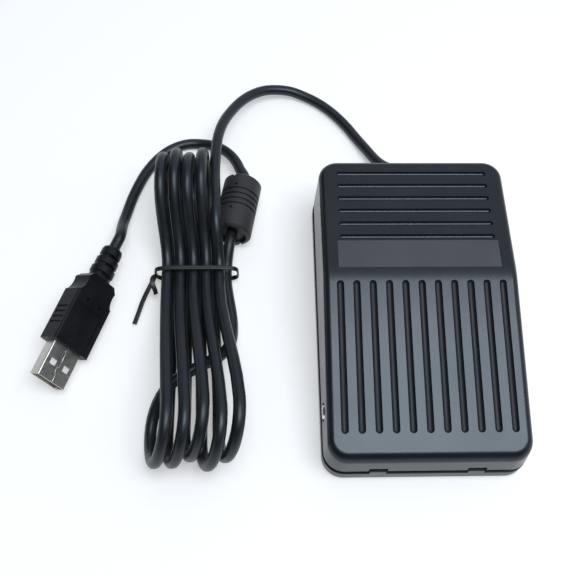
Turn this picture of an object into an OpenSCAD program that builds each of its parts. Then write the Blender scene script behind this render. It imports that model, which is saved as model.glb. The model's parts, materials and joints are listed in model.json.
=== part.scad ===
// Foot pedal switch on a cord: a grooved treadle hinged over a shallow tray,
// with its cord tied in a hank, a ferrite bead and a USB-A plug.
// Millimetres. +X right, +Y to the cord end, +Z up, origin under the middle of the tray.

/* [Tray] */
// Length of the tray, front to back
tray_l = 105.4; // [90:0.1:130]
// Width of the tray
tray_w = 66; // [60:1:90]
// Corner radius of the tray in plan
corner_r = 7; // [5:0.5:10]
// Height of the tray's outer wall
tray_h = 4; // [3.5:0.1:5]
// Thickness of the tray's floor
floor_t = 2; // [1.6:0.1:2.4]
// Thickness of the tray's walls
wall_t = 2; // [1.6:0.1:2.4]
// Height of the inner lip above the tray's wall
lip_rise = 5.2; // [3:0.1:7]
// Width of the two locating tabs at the front
tab_w = 5.2; // [4:0.1:8]
// Distance from one front tab to the other
tab_span = 31.2; // [24:0.1:40]
// Height of the front tabs above the tray's wall
tab_rise = 2; // [1:0.1:2.5]
// Diameter of a rubber foot
foot_d = 10; // [8:0.5:12]
// Thickness of a rubber foot
foot_t = 1.6; // [1.2:0.1:2.2]
// How far a foot stands below the tray
foot_stand = 0.8; // [0.5:0.1:1]
// Distance of a foot's centre from the tray's edges
foot_inset = 12; // [10:0.5:16]

/* [Pedal] */
// Height of the rear deck
deck_z = 28.5; // [26:0.1:34]
// Height of the deck at the front edge
front_z = 16.2; // [15:0.1:20]
// Ridge between the two decks, in front of or behind the middle
ridge_y = 7.3; // [0:0.1:14]
// Rounding of the deck's edge
edge_r = 2.2; // [1.5:0.1:3]
// Rounding of the deck's front edge
front_edge_r = 3.9; // [2:0.1:4.2]
// Corner radius of the deck in plan
deck_corner_r = 5.6; // [4.4:0.1:8]
// Thickness of the pedal's shell
shell_t = 2.2; // [1.8:0.1:2.6]
// Inset of the pedal's rim from the tray's edge
rim_inset = 0.3; // [0.1:0.1:0.6]
// Draft of the pedal's walls, rim to deck edge, on each side
draft = 0.8; // [0.3:0.1:1.2]
// Gap between tray and rim at the front
rim_gap = 2.3; // [1.5:0.1:3]
// How much higher the rim is at the rear
rim_slope = 1; // [0:0.1:2]
// Number of cross grooves on the rear deck
cross_n = 6; // [3:1:6]
// Pitch of the cross grooves
cross_pitch = 5.06; // [4:0.01:5.2]
// Length of a cross groove
cross_l = 52; // [40:1:54]
// Width of a cross groove
cross_w = 1.5; // [1:0.1:2]
// Depth of a cross groove
cross_depth = 0.6; // [0.4:0.05:0.8]
// Distance of the first cross groove from the rear edge
cross_start = 6.8; // [5:0.1:8]
// Number of long grooves on the front deck
long_n = 11; // [5:2:11]
// Pitch of the long grooves
long_pitch = 5.3; // [4:0.05:5.4]
// Length of a long groove
long_l = 48; // [36:0.5:49]
// Width of a long groove
long_w = 2.2; // [1.5:0.1:2.6]
// Depth of a long groove
long_depth = 0.9; // [0.5:0.05:1]
// Distance of the long grooves from the ridge
long_start = 3.2; // [2:0.1:5]
// Length of the label film
label_l = 53.6; // [40:0.1:56]
// Width of the label film
label_w = 10.2; // [8:0.1:11]
// Thickness of the label film
label_t = 0.25; // [0.15:0.05:0.4]
// Distance of the label film from the ridge
label_start = 1.7; // [1:0.1:3]

/* [Hinge] */
// Pivot behind the tray's front edge
pivot_y = 18.5; // [16:0.5:26]
// Height of the pivot
pivot_z = 10.8; // [10.6:0.1:11.4]
// Diameter of a pivot screw's shoulder
shoulder_d = 3.6; // [3:0.1:4]
// Diameter of a pivot screw's thread
thread_d = 2.6; // [2:0.1:2.8]
// Diameter of a pivot screw's head
head_d = 5.4; // [5:0.1:6]
// Height of a pivot screw's head
head_h = 1.6; // [1.2:0.1:2]
// Running clearance of the shoulder in its bore, on the radius
run_clear = 0.06; // [0.03:0.01:0.1]
// Clearance between the moving and the fixed parts
move_clear = 0.4; // [0.3:0.05:0.5]
// Thickness of a pivot ear
ear_t = 3.6; // [3:0.1:5]
// Radius of a pivot ear
ear_r = 4.5; // [4:0.1:5]

/* [Inside] */
// Width of the circuit board
board_w = 44; // [42:0.5:46]
// Length of the circuit board
board_l = 36; // [35:0.5:37]
// Thickness of the circuit board
board_t = 1.6; // [1:0.1:2]
// Distance of the board's middle from the tray's rear edge
board_back = 42.7; // [41:0.1:44]
// Height of the board's posts
post_h = 2.4; // [2:0.1:3]
// Diameter of a screw in the tray's posts
screw_d = 2.2; // [2:0.1:2.4]
// Diameter of those screws' heads
screw_head_d = 4.4; // [4:0.1:4.6]
// Height of those screws' heads
screw_head_h = 1.3; // [1:0.1:1.6]
// Width of the slot in the optical switch
slot_w = 3.2; // [2.8:0.1:4]
// Thickness of the flag that dips into the slot
flag_t = 1.2; // [0.8:0.1:1.6]
// Mean diameter of a return spring
spring_d = 8.6; // [8:0.1:9.6]
// Diameter of the spring wire
spring_wire = 1.1; // [0.9:0.1:1.2]
// Turns of a return spring
spring_turns = 7; // [5:1:9]
// Distance of a spring's axis from the tray's side
spring_inset = 13; // [12:0.1:14]
// Distance of a spring's axis from the tray's rear edge
spring_back = 14.7; // [13.5:0.1:16]

/* [Cord] */
// Diameter of the cord
cord_d = 4; // [3.6:0.1:4]
// Loops in the hank
loop_n = 5; // [5:1:5]
// Bend radius at the ends of the hank
loop_r = 12; // [12:0.5:13]
// Step from strand to strand at the waist
waist_step = 4.55; // [4.5:0.05:4.8]
// Step from loop to loop at the near end
near_step = 5.5; // [5.4:0.1:5.8]
// Step from loop to loop at the far end
far_step = 4.7; // [4.6:0.1:5]
// Wire of the tie round the hank
tie_d = 1.1; // [0.8:0.1:1.2]
// Outer diameter of the ferrite bead's cover
bead_d = 14; // [13:0.1:14.4]
// Length of the ferrite bead's cover
bead_l = 23.5; // [22:0.5:24]

/* [Plug] */
// Width of the plug's steel shell
usb_w = 12; // [11.9:0.05:12.1]
// Height of the plug's steel shell
usb_h = 4.5; // [4.4:0.05:4.6]
// Sheet of the steel shell
usb_t = 0.35; // [0.3:0.05:0.4]
// Bare length of the steel shell
usb_l = 12.4; // [11.8:0.1:13]
// Width of the moulded grip
grip_w = 15.6; // [15:0.1:17]
// Height of the moulded grip
grip_h = 8.2; // [7.6:0.1:9]
// Length of the moulded grip
grip_l = 19; // [17:0.5:21]
// Width of the collar behind the grip
collar_w = 12.8; // [12:0.1:14]
// Length of the collar behind the grip
shoulder_l = 8; // [7:0.5:9]
// Length of the ribbed strain relief
relief_l = 13; // [12.6:0.1:15]

/* [Hidden] */
$fn = 48;
hull_fn = 32;
eps = 0.01;

// Heights of the tray
tray_z = foot_stand;
floor_z = tray_z + floor_t;
wall_z = tray_z + tray_h;
lip_z = wall_z + lip_rise;
rear_y = tray_l / 2;
half_w = tray_w / 2;

// The pedal's form: rim, deck edge and slope of the front deck
rim_z = wall_z + rim_gap;
rim_half_w = half_w - rim_inset;
rim_half_l = rear_y - rim_inset;
deck_half_w = rim_half_w - draft;
deck_half_l = rim_half_l - draft;
slope = atan((deck_z - front_z) / (ridge_y + rear_y));
under_z = deck_z - shell_t;

// The hinge: faces across one side, from the middle outwards
hinge_y = pivot_y - rear_y;
boss_x = rim_half_w - shell_t - 1.2;
ear_x = boss_x - move_clear;
head_x = rim_half_w - draft;
lip_half_w = ear_x - move_clear;
lip_inset = half_w - lip_half_w;
bore_d = shoulder_d + 2 * run_clear;

// The cord's way out through the rear wall
exit_z = 7;
bush_d = 6;
collar_d = 8.4;
port_w = 13;
port_z = exit_z + collar_d / 2 + 1;
bush_out = 8;
travel = rim_gap + rim_slope;
clamp_y = rear_y - wall_t - 8.7;
clamp_screw_x = 7.5;
clamp_t = 2;

// Board posts and the optical switch
board_y = rear_y - board_back;
spring_y = rear_y - spring_back;
spring_x = half_w - spring_inset;
board_z = floor_z + post_h;
board_top = board_z + board_t;
board_hole_x = board_w / 2 - 3.5;
board_hole_y = board_l / 2 - 3.5;
switch_y = board_y;
switch_h = 9.5;
switch_l = 6.3;
tower_w = 4;
seat_h = 2.5;
flag_dip = 3.2;
post_d = spring_d - spring_wire - 1;

// The free cord: points chosen by hand
cord_r = cord_d / 2;
floor_gap = 0.05;
lie_z = cord_r + floor_gap;
lead_route = [
    [0, clamp_y - 2, exit_z], [0, rear_y - 6.7, exit_z], [0, rear_y, exit_z], [0, rear_y + bush_out, exit_z],
    [-1, 62.6, 6.7], [-3.6, 65.6, 6], [-6.8, 69, 5], [-10, 73, 3.8], [-13, 77.8, 2.7],
    [-16.4, 83.4, lie_z], [-20.6, 89.4, lie_z], [-25.4, 94.9, lie_z], [-30.8, 99.5, lie_z],
    [-36.8, 102.9, 2.6], [-43, 104.6, 3.6], [-49.4, 103.8, 5], [-55.2, 100.4, 6.4], [-60, 95, 8.2],
    [-63.8, 88.4, 10], [-66.6, 81.2, 12], [-68.2, 73.8, 13.4], [-68.8, 66.3, 14.2], [-69, 58.8, 14.6]];
bead_turn = 10;
bead_tilt = 2.6;
bead_mid = [-60.8, 45, bead_d / 2 * cos(bead_tilt) + bead_l / 2 * sin(bead_tilt) + 0.1];
bead_way = [sin(bead_turn) * cos(bead_tilt), cos(bead_turn) * cos(bead_tilt), -sin(bead_tilt)];
bead_in = bead_mid - bead_way * bead_l / 2;
bead_out = bead_mid + bead_way * bead_l / 2;
plug_tip = [-122, -22.2, 8.7];
plug_turn = 19.5;
plug_roll = 56;
plug_l = usb_l + grip_l + shoulder_l + relief_l;
plug_way = [sin(plug_turn), cos(plug_turn), 0];
plug_end = plug_tip + plug_way * plug_l;
tail_start = bead_in - bead_way * 2;
tail_route = concat(
    [tail_start, bead_in, bead_mid, bead_out, bead_out + bead_way * 3],
    [[-60, 63.6, 6.3], [-61.6, 67.6, 5.8], [-64, 71.6, 5], [-67.4, 75.2, 3.9], [-71.6, 77.8, 2.8],
        [-76.2, 79, lie_z], [-80.6, 78.9, lie_z], [-84.8, 77.5, lie_z], [-88.8, 74.9, lie_z],
        [-92.5, 70.9, lie_z], [-96, 65.4, lie_z], [-98.6, 59.3, lie_z], [-100.7, 52.8, lie_z],
        [-102, 46.4, 2.7], [-102.8, 40.2, 4.6]],
    [plug_end + plug_way * 6, plug_end + plug_way * 3, plug_end - plug_way * 5]);

// The hank: its waist, its ends and the strand that crosses to the right
hank_x = -76;
waist_y = 19.3;
near_x = -69.5;
near_y = -37.7;
far_x = -80.1;
far_y = 49.8;
near_lean = 8;
near_tilt = 16;
far_tilt = 30;
over_bead = [-68, 35.5, 17.2];
over_way = [0.03, -0.97, -0.22];
near_stagger = 1.6;
far_stagger = 1;
waist_lift = tie_d + 0.6;
waist_z = lie_z + waist_lift;
row_step = waist_step * sqrt(3) / 2;
cross_over = [[-81.4, -23, lie_z + 6.6], [-66, -13.5, lie_z + 6.6], [-62.2, 0, lie_z + 1.6]];
cross_way = [[0.76, 0.62, 0.16], [0.8, 0.58, -0.12], [-0.04, 0.99, -0.06]];
bend_steps = 8;
run_steps = 2;
gap_samples = 3;
least_gap = 0.4;

// Points and tubes

function unit(v) = v / norm(v);
function hermite(a, da, b, db, t) =
    a * (2 * pow(t, 3) - 3 * t * t + 1) + da * (pow(t, 3) - 2 * t * t + t)
    + b * (3 * t * t - 2 * pow(t, 3)) + db * (pow(t, 3) - t * t);
function run(a, wa, b, wb, steps) =
    let (k = norm(b - a))
    [for (i = [1 : steps]) hermite(a, wa * k, b, wb * k, i / steps)];

// A smooth curve through the points of a route
function through(route, steps) = [
    for (i = [0 : len(route) - 2], s = [0 : steps - 1])
        let (a = route[i], b = route[i + 1], k = norm(b - a),
            wa = i == 0 ? unit(b - a) : unit(b - route[i - 1]),
            wb = i == len(route) - 2 ? unit(b - a) : unit(route[i + 2] - a))
        hermite(a, wa * k, b, wb * k, s / steps),
    route[len(route) - 1]];

// One closed tube along points; side is a direction that the points never run along
module tube(points, r, sides, side) {
    last = len(points) - 1;
    rings = [for (i = [0 : last])
        let (w = unit(points[min(i + 1, last)] - points[max(i - 1, 0)]),
            u = unit(side - (side * w) * w), v = cross(w, u))
        for (k = [0 : sides - 1])
            points[i] + r * (cos(360 * k / sides) * u + sin(360 * k / sides) * v)];
    walls = [for (i = [0 : last - 1], k = [0 : sides - 1])
        let (a = i * sides + k, b = i * sides + (k + 1) % sides)
        each [[a, a + sides, b], [b, a + sides, b + sides]]];
    caps = [for (k = [1 : sides - 2])
        each [[0, k, k + 1], [last * sides, last * sides + k + 1, last * sides + k]]];
    polyhedron(rings, concat(walls, caps));
}

// The hank's centreline, loop by loop from right to left
function near_at(c) = near_x + (c - (loop_n - 1) / 2) * near_step;
function far_at(c) = far_x + (c - (loop_n - 2) / 2) * far_step;
function near_reach(c) = near_y + near_stagger * sin(140 * c + 200);
function far_reach(c) = far_y + far_stagger * sin(170 * c - 60);
function upper_slot(c) = [hank_x + (c - (loop_n - 1) / 2) * waist_step, waist_y, waist_z + row_step];
function lower_slot(c) = [hank_x + (c - loop_n / 2) * waist_step, waist_y, waist_z];
function bend_up(upper_x, lower_x) = unit([upper_x - lower_x, 0, 2 * loop_r]);
function bend_point(upper_x, lower_x, y, way, angle) =
    let (up = bend_up(upper_x, lower_x))
    [(upper_x + lower_x) / 2, y, lie_z + loop_r * up[2]]
    + loop_r * (cos(angle) * [0, way, 0] + sin(angle) * up);
function bend(upper_x, lower_x, y, way, from, to) = [
    for (i = [0 : bend_steps]) bend_point(upper_x, lower_x, y, way, from + (to - from) * i / bend_steps)];
function near_bend(c) =
    bend(near_at(c), near_at(c) - near_lean, near_reach(c), -1, 90 + near_tilt, -90);
function far_bend(c) = bend(far_at(c), far_at(c), far_reach(c), 1, -90, 90 + far_tilt);
function rise(c) = [0, -cos(near_tilt), 0] + sin(near_tilt) * bend_up(near_at(c), near_at(c) - near_lean);
fall = [0, -cos(far_tilt), -sin(far_tilt)];
ahead = [0, 1, 0];
lead_end = lead_route[len(lead_route) - 1];

function upper_run(c) =
    concat(
        c == loop_n - 1 ? concat(
            run(lead_end, -ahead, over_bead, over_way, run_steps),
            run(over_bead, over_way, upper_slot(c), -ahead, 2 * run_steps))
        : run(far_bend(c)[bend_steps], fall, upper_slot(c), -ahead, run_steps),
        run(upper_slot(c), -ahead, near_bend(c)[0], rise(c), run_steps));
function tail_of(points) = [for (i = [1 : len(points) - 1]) points[i]];
function lower_run(c) =
    let (low = near_bend(c)[bend_steps])
    c == 0 ? concat(
        run(low, ahead, cross_over[0], cross_way[0], 2 * run_steps),
        run(cross_over[0], cross_way[0], cross_over[1], cross_way[1], 2 * run_steps),
        run(cross_over[1], cross_way[1], cross_over[2], cross_way[2], 2 * run_steps),
        run(cross_over[2], cross_way[2], lower_slot(loop_n), ahead, 2 * run_steps),
        run(lower_slot(loop_n), ahead, tail_start, bead_way, 2 * run_steps))
    : concat(
        run(low, ahead, lower_slot(c), ahead, run_steps),
        run(lower_slot(c), ahead, far_bend(c - 1)[0], ahead, run_steps),
        tail_of(far_bend(c - 1)));
hank_points = concat([lead_end], [
    for (c = [loop_n - 1 : -1 : 0]) each concat(upper_run(c), tail_of(near_bend(c)), lower_run(c))]);

// Least gap of the hank to itself, measured on points between the rings
function between(points, n) = [
    for (i = [0 : len(points) - 2], s = [0 : n - 1]) points[i] + (points[i + 1] - points[i]) * s / n];
function self_gap(points, skip, d) = min([
    for (i = [0 : len(points) - 1 - skip], j = [i + skip : len(points) - 1]) norm(points[i] - points[j])]) - d;
function bead_gap(points) = min([
    for (q = points) let (v = q - bead_mid, along = v * bead_way)
        if (along < bead_l / 2 && along > -bead_l / 2) norm(v - along * bead_way)]);
function length_of(points) = [for (i = [1 : len(points) - 1]) norm(points[i] - points[i - 1])] *
    [for (i = [1 : len(points) - 1]) 1];
union() {  // cord_hank
    hank_gap = self_gap(between(hank_points, gap_samples), 9 * gap_samples, cord_d);
    echo(hank_gap = hank_gap, wanted = least_gap);
    echo(bead_gap = bead_gap(between(hank_points, gap_samples)) - bead_d / 2 - cord_r, wanted = least_gap);
    echo(cord_length = length_of(through(lead_route, 3)) + length_of(hank_points)
        + length_of(through(tail_route, 3)));
}

// Shapes used more than once

module block(l, w, r, h) {
    translate([-w / 2, -l / 2 + r, 0])
        cube([w, l - 2 * r, h]);
    translate([-w / 2 + r, -l / 2, 0])
        cube([w - 2 * r, l, h]);
    for (x = [-1, 1], y = [-1, 1])
        translate([x * (w / 2 - r), y * (l / 2 - r), 0])
            cylinder(r = r, h = h);
}

module ring_wall(inset, t, z0, z1) {
    translate([0, 0, z0])
        difference() {
            block(tray_l - 2 * inset, tray_w - 2 * inset, max(corner_r - inset, 1.5), z1 - z0);
            translate([0, 0, -1])
                block(tray_l - 2 * (inset + t), tray_w - 2 * (inset + t), max(corner_r - inset - t, 1),
                    z1 - z0 + 2);
        }
}

module along_x(x, y, z) {
    translate([x, y, z])
        rotate([0, 90, 0])
            children();
}

module along_y(x, y, z) {
    translate([x, y, z])
        rotate([-90, 0, 0])
            children();
}

module rod(a, b, d) {
    w = b - a;
    translate(a)
        rotate([0, acos(w[2] / norm(w)), atan2(w[1], w[0])])
            cylinder(d = d, h = norm(w), $fn = 16);
}

module mirrored_pair() {
    children();
    mirror([1, 0, 0])
        children();
}

module board_places() {
    for (x = [-1, 1], y = [-1, 1])
        translate([x * board_hole_x, board_y + y * board_hole_y, 0])
            children();
}

module pan_head_screw(d, l, head, head_rise) {
    translate([0, 0, -l])
        cylinder(d = d, h = l);
    difference() {
        cylinder(d = head, h = head_rise);
        for (a = [0, 90])
            rotate([0, 0, a])
                translate([-head * 0.3, -0.3, head_rise / 2])
                    cube([head * 0.6, 0.6, head_rise]);
    }
}

// Tray and what is fixed in it

module pivot_ears() {
    mirrored_pair() {
        translate([ear_x - ear_t, hinge_y - ear_r, floor_z - eps])
            cube([ear_t, 2 * ear_r, pivot_z - floor_z]);
        along_x(ear_x - ear_t, hinge_y, pivot_z)
            cylinder(r = ear_r, h = ear_t);
    }
}

module screw_post(x, y, d, z) {
    translate([x, y, floor_z - eps])
        cylinder(d = d, h = z - floor_z + eps);
}

module cable_port() {
    translate([-port_w / 2, rear_y - wall_t, wall_z - eps])
        cube([port_w, wall_t, port_z - wall_z]);
}

module base_tray() {
    color("#1b1c1e")
    difference() {
        union() {
            translate([0, 0, tray_z])
                block(tray_l, tray_w, corner_r, floor_t);
            ring_wall(0, wall_t, floor_z - eps, wall_z);
            ring_wall(lip_inset, wall_t - 0.4, floor_z - eps, lip_z);
            pivot_ears();
            cable_port();
            for (x = [-1, 1])
                translate([x * tab_span / 2 - tab_w / 2, -rear_y, wall_z - eps])
                    cube([tab_w, wall_t, tab_rise]);
            board_places()
                screw_post(0, 0, 5, board_z);
            for (x = [-1, 1]) {
                screw_post(x * clamp_screw_x, clamp_y, 5, exit_z + cord_r + floor_gap);
                screw_post(x * spring_x, spring_y, post_d, floor_z + 5);
            }
            translate([-3, clamp_y - 2, floor_z - eps])
                cube([6, 4, exit_z - cord_r - floor_gap - floor_z]);
        }
        for (x = [-1, 1], y = [-1, 1])
            translate([x * (half_w - foot_inset), y * (rear_y - foot_inset), tray_z - eps])
                cylinder(d = foot_d + 0.2, h = foot_t - foot_stand + eps);
        mirrored_pair()
            along_x(ear_x - ear_t - 1, hinge_y, pivot_z)
                cylinder(d = thread_d, h = ear_t + 2);
        along_y(0, rear_y - wall_t - 1, exit_z)
            cylinder(d = bush_d + 2 * floor_gap, h = wall_t + 2);
        translate([-collar_d / 2 - 0.3, rear_y - lip_inset - wall_t, exit_z - collar_d / 2 - 0.2])
            cube([collar_d + 0.6, wall_t + 0.5, lip_z]);
        board_places()
            translate([0, 0, floor_z])
                cylinder(d = screw_d, h = post_h + 1);
        for (x = [-1, 1])
            translate([x * clamp_screw_x, clamp_y, floor_z])
                cylinder(d = screw_d, h = exit_z + cord_r);
    }
}

module rubber_feet() {
    color("#2a2a2a")
    for (x = [-1, 1], y = [-1, 1])
        translate([x * (half_w - foot_inset), y * (rear_y - foot_inset), 0])
            cylinder(d = foot_d, h = foot_t);
}

module pivot_screw() {
    head_seat = head_x - 0.9 + 0.15;
    along_x(ear_x - ear_t, hinge_y, pivot_z)
        cylinder(d = thread_d, h = ear_t + eps);
    along_x(ear_x, hinge_y, pivot_z)
        cylinder(d = shoulder_d, h = head_seat - ear_x + eps);
    along_x(head_seat, hinge_y, pivot_z)
        difference() {
            cylinder(d1 = head_d, d2 = head_d - 1.2, h = head_h);
            for (a = [45, 135])
                rotate([0, 0, a])
                    translate([-1.6, -0.4, head_h - 0.8])
                        cube([3.2, 0.8, 1]);
        }
}

module pivot_screw_right() {
    color("silver")
        pivot_screw();
}

module pivot_screw_left() {
    color("silver")
        mirror([1, 0, 0])
            pivot_screw();
}

module circuit_board() {
    color("#1d5a32")
    difference() {
        translate([-board_w / 2, board_y - board_l / 2, board_z])
            cube([board_w, board_l, board_t]);
        board_places()
            translate([0, 0, board_z - 1])
                cylinder(d = screw_d + 0.4, h = board_t + 2);
    }
}

module board_screws() {
    color("silver")
    board_places()
        translate([0, 0, board_top])
            pan_head_screw(screw_d, board_t + post_h - 0.6, screw_head_d, screw_head_h);
}

module controller_chip() {
    chip = 7;
    pad_l = 1;
    color("#202124") {
        translate([-15 - chip / 2, board_y - chip / 2, board_top + 0.1])
            cube([chip, chip, 1.2]);
        for (side = [0 : 3], i = [-3 : 3])
            translate([-15, board_y, board_top])
                rotate([0, 0, 90 * side])
                    translate([chip / 2 - 0.3, i * 0.8 - 0.2, 0])
                        cube([pad_l, 0.4, 0.4]);
    }
}

module crystal_can() {
    color("silver")
        translate([-15, board_y + 9, board_top])
            block(4.5, 10, 2.2, 3.4);
}

module capacitors() {
    color("#8a6f4a")
    for (x = [11, 15], y = [-10, -7, 3])
        translate([x, board_y + y, board_top])
            cube([2, 1.2, 0.9]);
}

module optical_switch() {
    color("#17181a")
    difference() {
        translate([-slot_w / 2 - tower_w, switch_y - switch_l / 2, board_top])
            cube([slot_w + 2 * tower_w, switch_l, switch_h]);
        translate([-slot_w / 2, switch_y - switch_l, board_top + seat_h])
            cube([slot_w, 2 * switch_l, switch_h]);
    }
}

header_w = 12.5;
header_y = board_y + board_l / 2 - 3.2;
wire_d = 1.1;
wire_step = 2.5;
module cable_header() {
    color("ivory")
    difference() {
        translate([-header_w / 2, header_y - 3, board_top])
            cube([header_w, 6, 5.5]);
        for (i = [-1.5 : 1 : 1.5])
            along_y(i * wire_step, header_y + 1, board_top + 3)
                cylinder(d = wire_d + 0.1, h = 3);
    }
}

module cable_wires() {
    color("firebrick")
    for (i = [-1.5 : 1 : 1.5]) {
        along_y(i * wire_step, header_y + 1.1, board_top + 3)
            cylinder(d = wire_d, h = 3, $fn = 16);
        rod([i * wire_step, header_y + 4, board_top + 3],
            [i * 1.3 / 1.5, clamp_y - 2.4, exit_z], wire_d);
    }
}

clamp_z = exit_z + cord_r + floor_gap;
module cable_clamp() {
    color("#2b2c2e")
    difference() {
        translate([0, clamp_y, clamp_z])
            block(6, 2 * clamp_screw_x + 6, 2, clamp_t);
        for (x = [-1, 1])
            translate([x * clamp_screw_x, clamp_y, clamp_z - 1])
                cylinder(d = screw_d + 0.4, h = clamp_t + 2);
    }
}

module clamp_screws() {
    color("silver")
    for (x = [-1, 1])
        translate([x * clamp_screw_x, clamp_y, clamp_z + clamp_t])
            pan_head_screw(screw_d, clamp_t + 5, screw_head_d, screw_head_h);
}

module cable_bushing() {
    taper = [[bush_d / 2, 0], [collar_d / 2, 0], [collar_d / 2, 1.4], [3.5, 2.2], [3.5, 3],
        [3.9, 3.3], [3.9, 4.2], [3.2, 4.6], [3.2, 5.4], [3.6, 5.7], [3.6, 6.6], [2.9, 7], [2.8, bush_out]];
    inner_collar = [[bush_d / 2, -wall_t], [collar_d / 2, -wall_t], [collar_d / 2, -wall_t - 1.2]];
    bore = cord_r + floor_gap;
    color("#1a1a1b")
    along_y(0, rear_y, exit_z)
        rotate_extrude()
            polygon(concat([for (i = [len(inner_collar) - 1 : -1 : 0]) inner_collar[i]], taper,
                [[bore, bush_out], [bore, -wall_t - 1.2]]));
}

module return_spring(x) {
    low = floor_z + spring_wire / 2;
    high = under_z - spring_wire / 2;
    rings = spring_turns * 8;
    points = [for (i = [0 : rings])
        [x + spring_d / 2 * cos(360 * i / 8), spring_y + spring_d / 2 * sin(360 * i / 8),
            low + (high - low) * i / rings]];
    echo(spring_gap = (high - low) / spring_turns - spring_wire);
    tube(points, spring_wire / 2, 6, [0, 0, 1]);
}

module return_spring_left() {
    color("gainsboro")
        return_spring(-spring_x);
}

module return_spring_right() {
    color("gainsboro")
        return_spring(spring_x);
}

// Pedal

function deck_at(y) = y > ridge_y ? deck_z : deck_z - (ridge_y - y) * tan(slope);

module edge_puck(r, edge) {
    rotate_extrude($fn = hull_fn)
        intersection() {
            translate([r - edge, 0])
                circle(edge, $fn = hull_fn);
            translate([0, -edge])
                square([r, 2 * edge]);
        }
}

// The pedal's convex form, drawn in by inset all round; below its rim it goes on down by drop
module pedal_form(inset, drop) {
    edge = max(edge_r - inset, 0.6);
    front_edge = max(front_edge_r - inset, 0.6);
    hull() {
        for (x = [-1, 1]) {
            for (y = [-1, 1])
                translate([x * (rim_half_w - corner_r), y * (rim_half_l - corner_r),
                    rim_z - drop + (y > 0 ? rim_slope : 0)])
                    cylinder(r = corner_r - inset, h = 0.2, $fn = hull_fn);
            translate([x * (deck_half_w - deck_corner_r), deck_half_l - deck_corner_r, deck_z - inset - edge])
                edge_puck(deck_corner_r - inset, edge);
            translate([x * (deck_half_w - edge - inset), ridge_y, deck_z - inset - edge])
                sphere(edge, $fn = hull_fn);
            translate([x * (deck_half_w - deck_corner_r), deck_corner_r - deck_half_l,
                deck_at(deck_corner_r - deck_half_l) - (inset + front_edge) / cos(slope)])
                rotate([slope, 0, 0])
                    edge_puck(deck_corner_r - inset, front_edge);
        }
    }
}

// A round-bottomed groove with round ends, cut along local Y into the plane z = 0
module groove(l, w, depth) {
    r = (w * w / 4 + depth * depth) / (2 * depth);
    l_mid = l - w;
    translate([0, 0, r - depth]) {
        along_y(0, -l_mid / 2, 0)
            cylinder(r = r, h = l_mid);
        for (y = [-1, 1])
            translate([0, y * l_mid / 2, 0])
                sphere(r);
    }
}

module deck_grooves() {
    for (i = [0 : cross_n - 1])
        translate([0, rear_y - cross_start - i * cross_pitch, deck_z])
            rotate([0, 0, 90])
                groove(cross_l, cross_w, cross_depth);
    translate([0, ridge_y, deck_z])
        rotate([slope, 0, 0])
            for (i = [0 : long_n - 1])
                translate([(i - (long_n - 1) / 2) * long_pitch, -long_start - long_l / 2, 0])
                    groove(long_l, long_w, long_depth);
}

module label_place(grow, h) {
    translate([-label_l / 2 - grow, ridge_y + label_start - grow, deck_z - label_t])
        cube([label_l + 2 * grow, label_w + 2 * grow, h]);
}

module pedal_shell() {
    notch_w = tab_w + 2 * move_clear;
    port_gap_w = port_w + 2 * move_clear;
    boss_r = shoulder_d / 2 + 1.9;
    color("#232528")
    difference() {
        union() {
            difference() {
                pedal_form(0, 0);
                pedal_form(shell_t, 6);
            }
            mirrored_pair()
                along_x(boss_x, hinge_y, pivot_z)
                    cylinder(r = boss_r, h = head_x - 1 - boss_x);
            for (x = [-1, 1])
                translate([x * spring_x, spring_y, under_z - 5])
                    cylinder(d = post_d, h = 5 + shell_t / 2);
            translate([-flag_t / 2, switch_y - 2.5, board_top + switch_h - flag_dip])
                cube([flag_t, 5, under_z + shell_t / 2 - board_top - switch_h + flag_dip]);
        }
        deck_grooves();
        label_place(0.1, 2);
        mirrored_pair() {
            along_x(boss_x - 1, hinge_y, pivot_z)
                cylinder(d = bore_d, h = half_w);
            along_x(head_x - 0.9, hinge_y, pivot_z)
                cylinder(d = head_d + 2 * move_clear, h = half_w);
        }
        for (x = [-1, 1])
            translate([x * tab_span / 2 - notch_w / 2, -rear_y - 1, rim_z - 2])
                cube([notch_w, shell_t + 2, 2 + tab_rise]);
        translate([-port_gap_w / 2, rear_y - shell_t - 2, rim_z - 2])
            cube([port_gap_w, shell_t + 4, port_z + travel + move_clear - rim_z + 2]);
    }
}

module label_film() {
    color("#34373b")
        label_place(0, label_t);
}

// Cord

module cord_lead() {
    color("#141415")
        tube(through(lead_route, 2), cord_r, 8, [0, 0, 1]);
}

module cord_hank() {
    color("#141415")
        tube(hank_points, cord_r, 6, [1, 0, 0]);
}

module cord_tail() {
    color("#141415")
        tube(through(tail_route, 2), cord_r, 8, [0, 0, 1]);
}

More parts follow.
